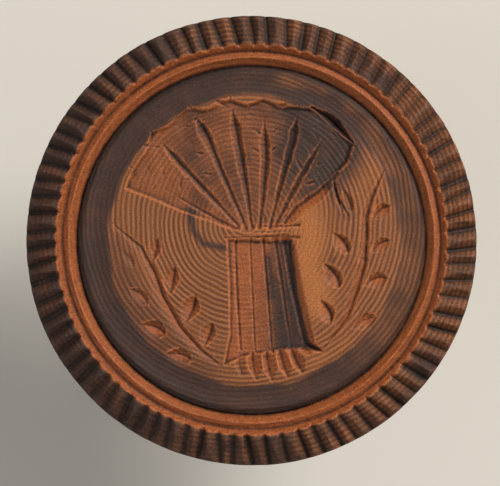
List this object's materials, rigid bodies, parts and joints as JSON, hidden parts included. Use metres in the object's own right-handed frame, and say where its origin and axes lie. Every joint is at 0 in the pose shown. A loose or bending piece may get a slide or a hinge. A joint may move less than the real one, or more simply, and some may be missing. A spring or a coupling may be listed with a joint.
{
  "type": "butter mould",
  "caption": "Round turned wooden butter stamp with a carved wheat sheaf between leaf sprays, a notched rim and a screw-in knob handle.",
  "frame": {"origin": "centre of the flat end of the handle, which the mould stands on", "axes": "+Z from the handle's end out through the printing face, +Y towards the top of the wheat sheaf"},
  "size_m": [0.108, 0.108, 0.092],
  "materials": {
    "head_wood": "worn, dark with age and butter fat, paler where the face has rubbed",
    "handle_wood": "turned, hand-worn and waxy"
  },
  "bodies": {
    "handle": {"handle": "handle_wood"},
    "head": {"print_head": "head_wood"}
  },
  "joints": [
    {"name": "head_unscrew", "type": "slide", "parent": "handle", "child": "head", "axis": [0, 0, 1], "range_m": [0, 0.022]}
  ]
}
